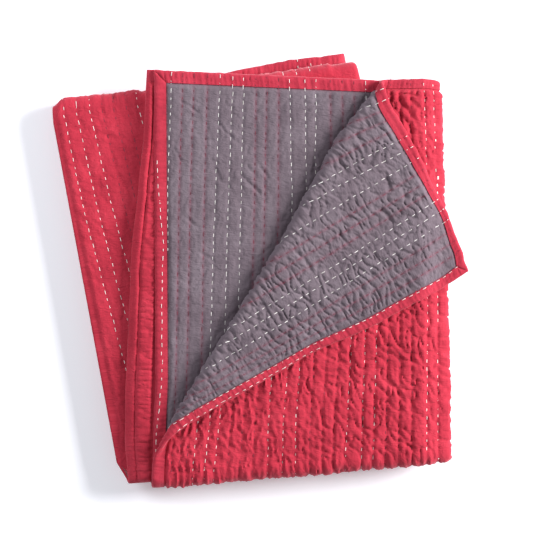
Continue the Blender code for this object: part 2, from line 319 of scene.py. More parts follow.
# The stretches of binding that show, from the start of each strip. Side -1 is the face.
Trim = namedtuple("Trim", "name side start end")
TRIMS = (
    Trim("binding_top_end", -1, 0.240, 0.345),
    Trim("binding_top_end", 1, 0.000, 0.280),
    Trim("binding_top_end", 1, WIDTH - 0.335, WIDTH),
    Trim("binding_inner_side", 1, 0.000, 0.430),
    Trim("binding_turned_side", 1, LENGTH - 0.430, LENGTH),
    Trim("binding_turned_side", -1, LENGTH - 0.475, LENGTH - 0.360),
    Trim("binding_floor_end", -1, 0.640, 0.990),
)

# ---- the sewing
# A stitch and the pitch of a row, its thread's width and how flat it lies, how far it stands out
# in its middle and dives at its ends, how long and narrow its tips are, and how much deeper it is
# pulled into the face. A stitch is left out where less than a share of the cloth's height shows,
# and leans with its row over a short way. The rest tells how uneven the hand is.
STITCH = 0.0052
STITCH_PITCH = 0.0088
THREAD = 0.00064
THREAD_FLAT = 0.7
THREAD_OUT = 0.00025
THREAD_DIVE = 0.0007
TIP_LONG = 0.2
TIP_NARROW = 0.45
FACE_PULLED = 0.00022
HIDDEN = 0.05
SLOPE_OVER = 0.01
PITCH_DRIFT = 0.0025
PITCH_DRIFT_LONG = 0.045
UNEVEN_LENGTH = 0.5
UNEVEN_LEAN = 0.12
UNEVEN_ASIDE = 0.0010

# Red shows through the grey cloth of the top length along the red rows, in patches. Along the
# seams the same plum is painted as shade: a dark line for the shadow beside the binding's edge.
TOP_LENGTH = 0.470
SHOW_WIDTH = 0.0020
SHOW_PATCH_WIDE = 0.004
SHOW_PATCH_LONG = 0.006
SEAM_PAINTED_SHADE = 2.5
SEAM_WIDTH = 0.0010

# The rows of running stitch: how far from the turned side (or, for "inner" rows, from the inner
# side, and for "spine" rows from the spine) a row lies at a few places along the quilt, and where
# it starts and ends, in millimetres. Rows wander, because they are sewn by eye, and come in threes
# of one thread.
Row = namedtuple("Row", "thread places start end", defaults=(0, 2000))


def threes(thread, *places):
    """Rows that run the whole length, by threes of one thread and of the other in turn."""
    other = "red" if thread == "cream" else "cream"
    return [Row((thread, other)[k // 3 % 2], place) for k, place in enumerate(places)]


ROW_PLACES = (0, 140, 380, 480)
TURNED_ROWS = (
    Row("cream", (12.4, 12.6, 12.8, 12.8), 6, 398),
    Row("cream", (2.4, 2.2, 1.8, 1.8), 192, 384),
    *threes(
        "red",
        (27, 25, 22, 21), (40, 36, 31, 29), (53, 48, 40, 36),
        (66.5, 59, 49, 41.5), (80, 73, 62, 53.5), (93.5, 84.5, 72.5, 63.5),
        (106, 98, 85, 78), (119, 111, 98, 92), (133, 124, 111, 107),
        (148, 139, 125, 124.5), (163, 158.5, 141.5, 140), (177, 170.5, 155, 154.5),
        (190, 184, 171, 169), (204, 199, 184, 183), (217, 213, 197, 195),
        (228, 224, 211.5, 206), (241, 237, 228, 224.5), (253, 250, 240.5, 237),
        (264, 262, 254, 250), (276, 274, 268, 265), (288, 286, 282, 280),
        (303.5, 305.5, 298.5, 296), (315, 316.5, 311, 309), (327, 327, 323.5, 322),
    ),
)
INNER_ROWS = (
    Row("cream", (20, 14.6, 13.9, 13.9), 0, 205),
    *threes(
        "red",
        (33.2, 27.8, 22, 22), (46.5, 40.8, 34.3, 33), (62.3, 57.2, 50.8, 49),
        (77.2, 69.8, 59, 56), (92.1, 85, 75.6, 72), (104.2, 99.4, 91, 88),
        (118.2, 114.4, 106, 102), (130.1, 125.7, 118, 115), (143.2, 140.6, 134, 131),
        (154.9, 155.9, 152, 149), (172.1, 171.9, 166, 163), (184.5, 181.6, 179, 176),
        (200.5, 200, 194, 190), (214, 213.5, 208, 204), (227, 226.5, 221, 217),
        (240.2, 239, 234, 230), (253.5, 252.5, 247, 243),
    ),
)
SPINE_PLACES = (520, 610, 690, 750, 890, 900)
SPINE_ROWS = (
    *threes(
        "cream",
        (27.3, 21.9, 17.4, 14, 11.6, 11.6), (42.3, 36.9, 32.4, 29, 26, 26),
        (58.3, 52.9, 48.4, 45, 40.8, 40.8),
        (71.7, 66.1, 61.5, 58.1, 55, 55), (85.3, 79.9, 75.4, 72, 68, 68),
        (99.3, 93.9, 89.4, 86, 82, 82),
        (114.3, 108.9, 104.4, 101, 94.5, 94.5), (127.3, 121.9, 117.4, 114, 108, 108),
        (140.3, 134.9, 130.4, 127, 122, 122),
        (154.3, 148.9, 144.4, 141, 136, 136), (167.3, 161.9, 157.4, 154, 150, 150),
        (181, 175.7, 171.3, 168, 163, 163),
        (195.3, 189.9, 185.4, 182, 177, 177), (208.3, 202.9, 198.4, 195, 191, 191),
        (222.3, 216.9, 212.4, 209, 205, 205),
        (235.3, 229.9, 225.4, 222, 218, 218), (249.3, 243.9, 239.4, 236, 232, 232),
        (263, 257.7, 253.3, 250, 246, 246),
        (276.3, 270.9, 266.4, 263, 260, 260), (290.3, 284.9, 280.4, 277, 274, 274),
        (304, 298.7, 294.3, 291, 288, 288),
    ),
)
# The row along the inner side's binding.
TRIM_PLACES = (0, 106, 142, 193, 253, 341, 375, 420)
TRIM_ROWS = (Row("cream", (3.2, 3.2, 5.3, 9.5, 7.4, 7.4, 5.2, 3.0), 98, 422),)
# Where stitches cross the binding of the floor end, in the part of it that looks out on top.
FLOOR_PLACES = (0, 1715, 1735, 1800)
FLOOR_ROWS = (
    Row("cream", (349, 349, 349, 349), 1722, 1733),
    Row("cream", (361, 361, 361, 361), 1722, 1734),
    Row("cream", (376, 376, 376, 376), 1724, 1734),
    Row("cream", (430, 430, 430, 430), 1724, 1734),
)

# A sewing's rows lie from its origin, to the right or (way -1) to the left.
Sewing = namedtuple("Sewing", "rows places origin way")
SEWINGS = {
    "turned": Sewing(TURNED_ROWS, ROW_PLACES, 0.0, 1),
    "inner": Sewing(INNER_ROWS, ROW_PLACES, WIDTH, -1),
    "spine": Sewing(SPINE_ROWS, SPINE_PLACES, WIDTH / 2, -1),
    "floor": Sewing(FLOOR_ROWS, FLOOR_PLACES, 0.0, 1),
    "trim": Sewing(TRIM_ROWS, TRIM_PLACES, WIDTH, -1),
}

# How near counts as the same place, how level a broad face lies, and how small a face may bend
# whole.
CUT_NEAR = 1e-7
AREA_NEAR = 1e-5
FREE_NEAR = 1e-4
BROAD = 0.9
SMALL_FACE = 1.2e-5

X_AXIS = Vector((1.0, 0.0, 0.0))
Y_AXIS = Vector((0.0, 1.0, 0.0))


def unevenness(across, along, seed):
    """Soft unevenness, from about -0.5 to 0.5, that is the same at each run."""
    return noise.noise(Vector((across, along, seed)))


def smooth(t):
    """0 below 0, 1 above 1, and a soft step between."""
    t = min(max(t, 0.0), 1.0)
    return t * t * (3 - 2 * t)


def soft_peak(t):
    """1 at 0, and softly down to 0 on either side of it."""
    return math.exp(-(t**2))


def eased(t, steps):
    """The same soft step in straight pieces, so that cloth cut at their ends bends well."""
    k = min(math.floor(min(max(t, 0.0), 1.0) * steps), steps - 1)
    low, high = smooth(k / steps), smooth((k + 1) / steps)
    return low + (high - low) * min(max(t * steps - k, 0.0), 1.0)


def away(crease):
    """The direction across a crease, towards the cloth that it turns over."""
    turn = math.radians(crease.turn)
    return Vector((-math.sin(turn), math.cos(turn), 0.0))


def beyond(crease, point):
    """How far a point is past a crease, on the side that is turned over."""
    turn = math.radians(crease.turn)
    return (crease.x - point.x) * math.sin(turn) + (point.y - crease.y) * math.cos(turn)


def mirrored(crease):
    """The plan of a fold: a mirror in the crease."""
    place = Matrix.Translation((crease.x, crease.y, 0.0))
    turn = Matrix.Rotation(math.radians(crease.turn), 4, "Z")
    flip = Matrix.Diagonal((1.0, -1.0, 1.0, 1.0))
    return place @ turn @ flip @ turn.inverted() @ place.inverted()


def strip_on(panel):
    """The plan of the strip on its first (floor), second, third or fourth (top) length."""
    plan = (
        Matrix.Translation(TOP_CORNER)
        @ Matrix.Rotation(math.radians(TOP_TURN), 4, "Z")
        @ Matrix.Diagonal((1.0, -1.0, 1.0, 1.0))
    )
    for crease in reversed(LENGTHS[panel - 1 :]):
        plan = mirrored(crease) @ plan
    return plan


ON_FLOOR = strip_on(1)
ON_THIRD = strip_on(3)
ON_TOP = strip_on(4)


# ---- flat pieces


def slab(x0, x1, y0, y1, z0, z1):
    """A flat closed piece between the given sides."""
    bm = bmesh.new()
    bmesh.ops.create_cube(bm, size=1.0)
    bmesh.ops.scale(bm, verts=bm.verts, vec=(x1 - x0, y1 - y0, z1 - z0))
    middle = ((x0 + x1) / 2, (y0 + y1) / 2, (z0 + z1) / 2)
    bmesh.ops.translate(bm, verts=bm.verts, vec=middle)
    return bm


def cut_once(bm, faces, place, normal):
    """Cuts faces along a plane and returns what they have become."""
    edges = {e for f in faces for e in f.edges}
    verts = {v for f in faces for v in f.verts}
    done = bmesh.ops.bisect_plane(
        bm,
        geom=[*faces, *edges, *verts],
        dist=CUT_NEAR,
        plane_co=place,
        plane_no=normal,
    )
    return [g for g in done["geom"] if isinstance(g, bmesh.types.BMFace)]


def cut_lines(bm, faces, normal, first, step, count):
    """Cuts faces along evenly spaced lines."""
    for k in range(count + 1):
        faces = cut_once(bm, faces, normal * (first + k * step), normal)
    return faces


def large_faces(bm):
    """The faces that have to be cut where they bend. Small ones bend well enough whole."""
    return [f for f in bm.faces if f.calc_area() > SMALL_FACE]


# ---- puckered cloth


def field(kind, x, y, seed):
    """Long waves of one kind: 0 along their lines and more on either side, up to about 1."""
    lean = math.radians(kind.lean)
    across = x * math.cos(lean) - y * math.sin(lean)
    along = x * math.sin(lean) + y * math.cos(lean)
    return abs(unevenness(across / kind.wide, along / kind.long, seed)) / 0.5


def valleys(kind, x, y, seed):
    """Rounded swellings with sharp valleys between them, from 0 to 1."""
    return 1 - math.exp(-field(kind, x, y, seed) / kind.sharp)


def crests(kind, x, y, seed):
    """Sharp crests with rounded hollows between them, from 0 to 1."""
    return math.exp(-field(kind, x, y, seed) / (2 * kind.sharp))


def row_x(sewing, row, y):
    """Where a sewn row lies across the flat quilt, at a place along it."""
    places = [MM * p for p in sewing.places]
    after = next((i for i, p in enumerate(places[1:], 1) if y <= p), len(places) - 1)
    t = min(max((y - places[after - 1]) / (places[after] - places[after - 1]), 0.0), 1.0)
    a, b = row.places[after - 1], row.places[after]
    return sewing.origin + sewing.way * MM * (a + (b - a) * t)


def stitch_phase(x_start, y):
    """How many stitches of a row have been sewn at a place along it: the hand isn't even."""
    drift = PITCH_DRIFT * unevenness(x_start * 97.0, y / PITCH_DRIFT_LONG, 7.7)
    return (y + drift) / STITCH_PITCH


ROW_CACHE = {}


def rows_at(name, y):
    """Where all rows of a sewing lie at a place along, each with its stitch phase there."""
    key = (name, round(y, 5))
    if key not in ROW_CACHE:
        sewing = SEWINGS[name]
        ROW_CACHE[key] = [
            (row_x(sewing, row, y), stitch_phase(row_x(sewing, row, 0.0), y), row.thread)
            for row in sewing.rows
        ]
    return ROW_CACHE[key]


def held_down(zone, x, y):
    """How far the sewing lets the cloth rise at a place: least at the middle of a stitch."""
    nearest, phase, _ = min(rows_at(zone.sewing, y), key=lambda r: abs(r[0] - x))
    near = soft_peak((x - nearest) / HELD_WIDTH)
    near *= 0.75 + 0.5 * unevenness(x / HELD_PATCH, y / HELD_PATCH, 1.1)
    half = 0.5 if zone.cloth == "back_cloth" else 0.0
    tied = 0.5 + 0.5 * math.cos(math.tau * (phase + half))
    return 1.0 - near * (HELD + HELD * tied)


def pucker(zone, x, y):
    """How high the cloth stands between its stitches, as a share of the zone's height."""
    x_bent = x + SIDE * unevenness(x / SIDE_PATCH, y / SIDE_PATCH, 9.1)
    y_bent = y + SWAY * unevenness(x / SWAY_PATCH, y / SWAY_PATCH, 3.7)
    patch = unevenness(x / LIVELY_PATCH, y / LIVELY_PATCH, 6.4)
    far = smooth((abs(x - SEWINGS[zone.sewing].origin) - ASLANT_FROM) / ASLANT_OVER)
    upright = zone.mix.upright * crests(UPRIGHT, x_bent, y_bent, 1.9)
    aslant = zone.mix.aslant * valleys(ASLANT, x_bent, y_bent, 5.9)
    wrinkles = upright * (1.6 - 1.2 * far) + aslant * (0.4 + 1.2 * far)
    gathers = zone.mix.gathers * valleys(GATHER, x_bent, y_bent, 1.3)
    creases = zone.mix.creases * valleys(CREASE, x_bent, y_bent, 8.3) ** (1.0 + patch)
    swell = 0.5 + 0.5 * unevenness(x / SWELL, y / SWELL, 2.2)
    lively = 1.0 + 0.5 * patch
    folds = gathers * (1.0 + 0.9 * patch) + wrinkles * lively + creases
    crinkle = CRINKLED * (1.0 - 0.8 * patch) * crests(CRINKLE, x_bent, y_bent, 6.6)
    return held_down(zone, x, y) * (FOLDS_SHARE * folds + SWELL_SHARE * swell + crinkle)


def rucked(zone, x, y):
    """How far the main creases lower the cloth at a place: each has a soft shoulder beside it."""
    total = 0.0
    for k, r in enumerate(RUCKS.get(zone.name, ())):
        long_x, long_y = r.x1 - r.x0, r.y1 - r.y0
        length = math.hypot(long_x, long_y)
        from_x, from_y = x / MM - r.x0, y / MM - r.y0
        along = (from_x * long_x + from_y * long_y) / length
        ends = smooth(min(along + r.wide, length - along + r.wide) / (4 * r.wide))
        if ends > 0.0:
            across = (from_x * long_y - from_y * long_x) / length
            across += RUCK_WANDER * unevenness(along / RUCK_WANDER_LONG, k * 3.1, 4.4)
            t = (across / r.wide) ** 2
            total += r.deep * ends * (math.exp(-t) - SHOULDER * math.exp(-t / 6))
    return MM * total


def fold_shape(x, y):
    """The fold at the left: long soft waves, a groove, and pleats beyond the groove."""
    over = x - WIDTH / 2 + GROOVE_WANDER * unevenness(y / GROOVE_WANDER_LONG, 0.0, 2.9)
    groove = 1 - soft_peak((over - GROOVE) / GROOVE_WIDTH)
    wave = 0.80 + 0.40 * unevenness(over / WAVE_WIDE, y / WAVE_LONG, 4.8)
    line = abs(unevenness(over / FOLD_PLEAT_LONG, y / PLEAT, 7.2))
    pleated = 0.35 + FOLD_PLEATED * (1 - math.exp(-line / FOLD_PLEAT_SHARP))
    rim = smooth((FOLD_SHOWS - over) / FOLD_FADE) * smooth(over / SPINE_FADE)
    return rim * groove * (pleated if over > GROOVE else wave)


def shows(name, x, y):
    """1 where a zone lies open in the folded bundle, fading to 0 under what covers it."""
    if name in OPEN_ZONES:
        return 1.0
    if name == "front_fold":
        return smooth((FRONT_UNDER - FRONT_LEAN * x - y) / FRONT_FADE)
    if name == "lower":
        place = ON_THIRD @ Vector((2 * QUARTER - x, y, 0.0))
        return smooth((COVER + FADE + COVER_LEAN * place.y - place.x) / FADE)
    across = WIDTH - x if name == "under_flap" else x
    turned = beyond(FLAP, ON_TOP @ Vector((across, y, 0.0)))
    if name == "top":
        return smooth((FLAP_COVERS - turned) / FADE)
    if name == "flap":
        return smooth((turned - FLAP_BEGINS) / FADE)
    return smooth((turned - UNDER_FLAP_BEGINS) / FADE)


def height(zone, x, y):
    """How far the cloth of a zone stands out from its flat surface at a place."""
    seen = shows(zone.name, x, y)
    if seen == 0.0:
        return 0.0
    last_x = zone.from_x + math.copysign(ROW * abs(zone.rows), zone.rows)
    low_x, high_x = sorted((zone.from_x, last_x))
    rim = min(x - low_x, high_x - x, y - zone.from_y, zone.to_y - y)
    shape = fold_shape if zone.name == "spine" else lambda x, y: pucker(zone, x, y)
    stands = zone.height * shape(x, y) - rucked(zone, x, y)
    return max(stands, -DIP) * seen * smooth(rim / RIM)


def divide_zone(bm, zone, surface, outward):
    """Cuts a zone into a cloth's outer face, row by row, divides what shows, and puckers it."""
    step = math.copysign(ROW, zone.rows)
    low_x, high_x = sorted((zone.from_x, zone.from_x + step * abs(zone.rows)))
    bands = round((zone.to_y - zone.from_y) / ROW)
    band = (zone.to_y - zone.from_y) / bands
    bm.normal_update()

    def between(faces, low_y, high_y):
        return [
            f
            for f in faces
            if all(
                low_x - AREA_NEAR < v.co.x < high_x + AREA_NEAR
                and low_y - AREA_NEAR < v.co.y < high_y + AREA_NEAR
                for v in f.verts
            )
        ]

    outer = [
        f for f in bm.faces if f.normal.z * outward > BROAD and f.calc_area() > SMALL_FACE
    ]
    outer = cut_lines(bm, outer, X_AXIS, low_x, high_x - low_x, 1)
    outer = between(outer, 0.0, LENGTH)
    outer = cut_lines(bm, outer, Y_AXIS, zone.from_y, zone.to_y - zone.from_y, 1)
    cells = between(outer, zone.from_y, zone.to_y)
    cells = cut_lines(bm, cells, X_AXIS, low_x, ROW, abs(zone.rows))
    cells = cut_lines(bm, cells, Y_AXIS, zone.from_y, band, bands)
    open_cells = [
        f for f in cells if any(shows(zone.name, v.co.x, v.co.y) > 0.0 for v in f.verts)
    ]
    bmesh.ops.subdivide_edges(
        bm,
        edges=list({e for f in open_cells for e in f.edges}),
        cuts=zone.fine - 1,
        use_grid_fill=True,
    )
    for v in bm.verts:
        x, y, z = v.co
        if low_x < x < high_x and zone.from_y < y < zone.to_y and abs(z - surface) < AREA_NEAR:
            v.co.z += outward * height(zone, x, y)


def tint_rows_and_paint_seam_shade(bm):
    """Marks where red shows through the thin grey cloth along the red rows, and paints seam shade.
    """
    seen = bm.verts.layers.float.new("shows_through_and_seam_shade")
    for v in bm.verts:
        x, y = v.co.x, v.co.y
        name = "turned" if x < WIDTH / 2 else "inner"
        if y < TOP_LENGTH:
            off = min(abs(x - place) for place, _, thread in rows_at(name, y) if thread == "red")
            patch = 0.75 + 0.5 * unevenness(x / SHOW_PATCH_WIDE, y / SHOW_PATCH_LONG, 3.3)
            v[seen] = soft_peak(off / SHOW_WIDTH) * patch
        # Painted shade: a dark plum line along the seams, for the shadow beside the binding's
        # raised edge.
        seam = min(x, y, WIDTH - x, LENGTH - y) - BINDING
        v[seen] = max(v[seen], SEAM_PAINTED_SHADE * soft_peak(seam / SEAM_WIDTH))


def cloth_flat(name, bottom, outward):
    """One of the two cloths, puckered, up to the binding's inner edge."""
    inset = BINDING - TUCK
    bm = slab(inset, WIDTH - inset, inset, LENGTH - inset, bottom, bottom + CLOTH)
    surface = bottom if outward < 0 else bottom + CLOTH
    for zone in ZONES:
        if zone.cloth == name:
            divide_zone(bm, zone, surface, outward)
    tint_rows_and_paint_seam_shade(bm)
    return bm


def pleats(along, side):
    """How high a strip of binding stands at a place along it, from 0 to 1."""
    wave = abs(unevenness(along / PLEAT, 0.0, 4.1 + side))
    return 1 - math.exp(-wave / PLEAT_SHARP)


def trim_height(name, length, along, over, side):
    """How far a binding stands out, at a place along it and over from its folded edge."""
    open_part = max(
        (
            smooth(min(along - t.start + TRIM_FADE / 2, t.end - along + TRIM_FADE / 2) / TRIM_FADE)
            for t in TRIMS
            if t.name == name and t.side == side
        ),
        default=0.0,
    )
    mitre = min(along, length - along) - over
    beside = smooth(mitre / MITRE_FADE)
    share = min(max(over / BINDING, 0.0), 1.0)
    crown = max(math.sin(math.pi * share**0.8) ** 0.6, TRIM_LIP * smooth(share * 2))
    lift = 0.40 + PLEATED * pleats(along + PLEAT_LEAN * over, side)
    if name == "binding_top_end" and side > 0:
        here = smooth(min(along - TRIM_CREASE_START, TRIM_CREASE_END - along) / TRIM_CREASE_FADE)
        across = (over - TRIM_CREASE_OVER) / TRIM_CREASE_WIDTH
        lift *= 1 - TRIM_CREASE_DEPTH * here * soft_peak(across)
    return TRIM_HEIGHT * open_part * crown * lift * (MITRE_LOW + 0.75 * beside)


def trim_at(x, y, side):
    """How far the binding stands out at a place in the flat quilt, or None where there is none."""
    if x < BINDING:
        return trim_height("binding_turned_side", LENGTH, LENGTH - y, x, side)
    if x > WIDTH - BINDING:
        return trim_height("binding_inner_side", LENGTH, y, WIDTH - x, side)
    if y < BINDING:
        return trim_height("binding_top_end", WIDTH, x, y, side)
    if y > LENGTH - BINDING:
        return trim_height("binding_floor_end", WIDTH, WIDTH - x, LENGTH - y, side)
    return None


def mitred_strip(name, length):
    """A strip of binding along X, its folded edge at Y = 0 and its sewn edge at Y = BINDING."""
    bm = slab(0.0, length, 0.0, BINDING, UNDER, UNDER + QUILT)
    for v in bm.verts:
        end = 1 if v.co.x < length / 2 else -1
        v.co.x += end * (v.co.y - MITRE_LAP)
    folded_edge = [e for e in bm.edges if all(v.co.y < EDGE_ROUND for v in e.verts)]
    long_edges = [e for e in folded_edge if e.calc_length() > length / 2]
    bmesh.ops.bevel(
        bm, geom=long_edges, offset=EDGE_ROUND, segments=2, profile=0.5, affect="EDGES"
    )
    lines = (BINDING - EDGE_ROUND) / TRIM_LINES
    cut_lines(bm, list(bm.faces), Y_AXIS, EDGE_ROUND + lines, lines, TRIM_LINES - 2)
    count = round(length / ROW)
    cut_lines(bm, list(bm.faces), X_AXIS, length / count, length / count, count - 2)
    lengthwise = [e for e in bm.edges if abs(e.verts[0].co.y - e.verts[1].co.y) < CUT_NEAR]
    lengthwise = [e for e in lengthwise if abs(e.verts[0].co.z - e.verts[1].co.z) < CUT_NEAR]
    bmesh.ops.subdivide_edges(bm, edges=lengthwise, cuts=TRIM_FINE - 1)
    for v in bm.verts:
        along, over, z = v.co
        for side, surface in ((-1, FACE_SURFACE), (1, BACK_SURFACE)):
            if abs(z - surface) < AREA_NEAR:
                v.co.z += side * trim_height(name, length, along, over, side)
        edge_wave = EDGE_WAVE * unevenness(along / EDGE_WAVE_LONG, 0.0, 8.8)
        v.co.y += edge_wave * (1 - over / BINDING)
    return bm


def binding_flat(name, length, corner, turn):
    """A mitred strip of binding laid along one side of the flat quilt."""
    bm = mitred_strip(name, length)
    place = Matrix.Translation((*corner, 0.0)) @ Matrix.Rotation(math.radians(turn), 4, "Z")
    bmesh.ops.transform(bm, matrix=place, verts=bm.verts)
    return bm


# ---- folds


def flat_layers(bm):
    """Where each point's place in the flat quilt is stored."""
    layers = bm.verts.layers.float
    return [layers.get(name) or layers.new(name) for name in ("flat_x", "flat_y")]


def remember_flat(bm):
    """Stores each point's place in the flat quilt, which later cuts carry on."""
    flat_x, flat_y = flat_layers(bm)
    for v in bm.verts:
        v[flat_x], v[flat_y] = v.co.x, v.co.y


def free_to_move(bm, crease):
    """A test for the points of the cloth that a fold takes along."""
    flat_x, flat_y = flat_layers(bm)

    def moves(v):
        return v[flat_x] < crease.free_x + FREE_NEAR and v[flat_y] < crease.free_y + FREE_NEAR

    return moves


def fold(bm, crease, cut, roll=None, clear=None):
    """Turns the cloth beyond a crease up and over, on to what lies before it.

    The cloth bends about an axis at the top of the layers that turn, or half the roll above
    them where the bend is a loose one, and then comes down to clear what it lies on.
    """
    top = (crease.under + crease.layers) * LAYER
    mean = roll or crease.layers * LAYER / 2
    axis = top if roll is None else top - LAYER / 2 + roll
    lowered = 0.0 if clear is None else 2 * roll - clear
    start = -math.pi * mean / 2
    moves = free_to_move(bm, crease)
    across = away(crease)
    if cut:
        cuts = [start + math.pi * mean * k / BEND_STEPS for k in range(BEND_STEPS + 1)]
        if clear is not None:
            cuts += [cuts[-1] + FLAP_SETTLE * k / EASE_STEPS for k in range(1, EASE_STEPS + 1)]
        tight = crease in HALVES
        faces = list(bm.faces) if tight else large_faces(bm)
        faces = [
            f for f in faces if any(moves(v) and beyond(crease, v.co) > start for v in f.verts)
        ]
        for at in cuts:
            place = Vector((crease.x, crease.y, 0.0)) + across * at
            faces = cut_once(bm, faces, place, across)
    for v in bm.verts:
        distance = beyond(crease, v.co)
        if distance > start and moves(v):
            arc = distance - start
            angle = min(arc / mean, math.pi)
            past = max(arc - math.pi * mean, 0.0)
            radius = axis - v.co.z
            reached = start + radius * math.sin(angle) - past
            v.co += across * (reached - distance)
            drop = lowered * eased(past / FLAP_SETTLE, EASE_STEPS)
            v.co.z = axis - radius * math.cos(angle) - drop


def stray(bm):
    """Lets the four-layer strip stray from straight along its length, as hands fold it."""
    spine = 2 * QUARTER - WIDTH / 2
    middle = (spine + QUARTER) / 2
    half = (QUARTER - spine) / 2
    flat_x, _ = flat_layers(bm)
    for v in bm.verts:
        y = min(max(v.co.y, 0.0), STATIONS[-1].along)
        after = next(i for i, s in enumerate(STATIONS[1:], 1) if y <= s.along)
        a, b = STATIONS[after - 1], STATIONS[after]
        t = (y - a.along) / (b.along - a.along)
        wider, edges, aside = (p + t * (q - p) for p, q in zip(a[1:], b[1:]))
        v.co.y -= END_SLOPE * v.co.x * (1 - smooth(v.co.y / END_REACH))
        bound = abs(v[flat_x] - WIDTH / 2) > WIDTH / 2 - QUARTER
        out = max(1 - v.co.x / QUARTER, 0.0) if bound else 0.0
        v.co.x += wider * (v.co.x - middle) / half - edges * out + aside


def pull_corner(bm, cut):
    """The corner that is turned back has been pulled out of square."""
    if cut:
        cut_lines(bm, list(bm.faces), X_AXIS, QUARTER, 0.0, 0)
        for y in (END_REACH / 2, END_REACH, *(s.along for s in STATIONS[1:-1])):
            cut_lines(bm, list(bm.faces), Y_AXIS, y, 0.0, 0)
    for v in bm.verts:
        near = max(1 - v.co.x / QUARTER, 0.0) * max(1 - v.co.y / CORNER_REACH, 0.0)
        v.co += CORNER_PULL * near


def sink(bm, cut):
    """Rounds the bundle down towards its two long sides, where nothing pads it."""
    if cut:
        for side, inward in ((SINK_LEFT, 1), (SINK_RIGHT, -1)):
            step = inward * SINK_WIDTH / EASE_STEPS
            cut_lines(bm, large_faces(bm), X_AXIS, side, step, EASE_STEPS)
    for v in bm.verts:
        inside = min(v.co.x - SINK_LEFT, SINK_RIGHT - v.co.x)
        v.co.z *= 1 - SINK * (1 - eased(inside / SINK_WIDTH, EASE_STEPS))


def bowed(line, along):
    """How far a line bows out at a place along it."""
    if not line[0].along < along < line[-1].along:
        return 0.0
    after = next(i for i, s in enumerate(line) if along <= s.along)
    a, b = line[after - 1], line[after]
    return a.out + (b.out - a.out) * smooth((along - a.along) / (b.along - a.along))


def draw_edges(bm):
    """The ends and sides have been drawn out of true by their sewing and by hand."""
    for v in bm.verts:
        x, y = v.co.x, v.co.y
        from_end, from_inner = (1 - smooth(d / DRAWN_REACH) for d in (y, WIDTH - x))
        from_side = 1 - smooth(x / SIDE_REACH)
        from_floor = 1 - smooth((LENGTH - y) / DRAWN_REACH)
        sewn_end, sewn_side = smooth(y / BINDING), smooth(x / BINDING)
        v.co.y -= (bowed(TOP_END, x) + bowed(TOP_END_NARROW, x) * sewn_end) * from_end
        v.co.x -= (bowed(TURNED_SIDE, y) - bowed(TURNED_SIDE_NARROW, y) * (1 - sewn_side)) * (
            from_side
        )
        v.co.x += bowed(INNER_SIDE, y) * from_inner
        v.co.y += bowed(FLOOR_END, x) * from_floor


def lift_head(bm):
    """The lengths beneath bow up and stray to the right at their head, and bulge at their foot."""
    _, flat_y = flat_layers(bm)
    for v in bm.verts:
        if v[flat_y] > BULGE_FROM:
            left = smooth((LEFT_FOOT_FROM - v.co.x) / (LEFT_FOOT_FROM - LEFT_FOOT_FULL))
            v.co.x -= bowed(LEFT_FOOT, v.co.y) * left
        if v[flat_y] > HEAD_BOWS_FROM:
            near = smooth((v.co.y - DRAWN_REACH) / (LEFT_HEAD_FULL - DRAWN_REACH))
            right = smooth((v.co.x - HEAD_FROM) / (HEAD_FULL - HEAD_FROM))
            v.co.y += bowed(LEFT_HEAD, v.co.x) * near
            if v[flat_y] < FLOOR_LENGTH:
                v.co += HEAD_ASIDE * near * right


def slip_spine(bm):
    """The spine of the top length has slipped out a little over the lengths beneath."""
    flat_x, flat_y = flat_layers(bm)
    for v in bm.verts:
        near = smooth(1 - abs(v[flat_x] - WIDTH / 2) / SPINE_REACH)
        v.co.x -= bowed(TOP_SPINE, v[flat_y]) * near


def bow_crest(bm, cut):
    """Bows the crest of the turned corner, and the cloth that it draws along."""
    turn = math.radians(FLAP.turn)
    along = Vector((math.cos(turn), math.sin(turn), 0.0))
    across = away(FLAP)
    flat_x, flat_y = flat_layers(bm)

    def of_top(v):
        return v[flat_x] < QUARTER and v[flat_y] < CORNER_REACH

    if cut:
        faces = [f for f in large_faces(bm) if all(of_top(v) for v in f.verts)]
        for k in range(math.ceil((CREST[-1].along - CREST[0].along) / CREST_CUT)):
            place = Vector((FLAP.x, FLAP.y, 0.0)) + along * (CREST[0].along + k * CREST_CUT)
            faces = cut_once(bm, faces, place, along)
    for v in bm.verts:
        if of_top(v):
            offset = v.co - Vector((FLAP.x, FLAP.y, v.co.z))
            fade = smooth(1 + (offset.dot(across) - FLAP_ROLL) / CREST_REACH)
            v.co += across * bowed(CREST, offset.dot(along)) * fade


def fold_up(bm, cut=True):
    """Takes one flat piece through every fold of the bundle."""
    draw_edges(bm)
    pull_corner(bm, cut)
    for crease in HALVES:
        fold(bm, crease, cut)
    stray(bm)
    bmesh.ops.transform(bm, matrix=ON_FLOOR, verts=bm.verts)
    for crease in LENGTHS:
        fold(bm, crease, cut)
    fold(bm, FLAP, cut, roll=FLAP_ROLL, clear=FLAP_CLEAR)
    bow_crest(bm, cut)
    bmesh.ops.translate(bm, verts=bm.verts, vec=(0.0, 0.0, -UNDER))
    sink(bm, cut)
    lift_head(bm)
    slip_spine(bm)
    bmesh.ops.translate(bm, verts=bm.verts, vec=CENTRE)


# ---- pieces


def make_piece(name, bm, material):
    """Puts a folded piece into the scene, with its flat places as its own map."""
    flat_x, flat_y = flat_layers(bm)
    unrolled = bm.loops.layers.uv.new("flat")
    for face in bm.faces:
        face.smooth = True
        for loop in face.loops:
            loop[unrolled].uv = (loop.vert[flat_x], loop.vert[flat_y])
    mesh = bpy.data.meshes.new(name)
    bm.to_mesh(mesh)
    bm.free()
    mesh.set_sharp_from_angle(angle=math.radians(60))
    mesh.materials.append(material)
    piece = bpy.data.objects.new(name, mesh)
    bpy.context.scene.collection.objects.link(piece)
    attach(piece, "root")
    return piece


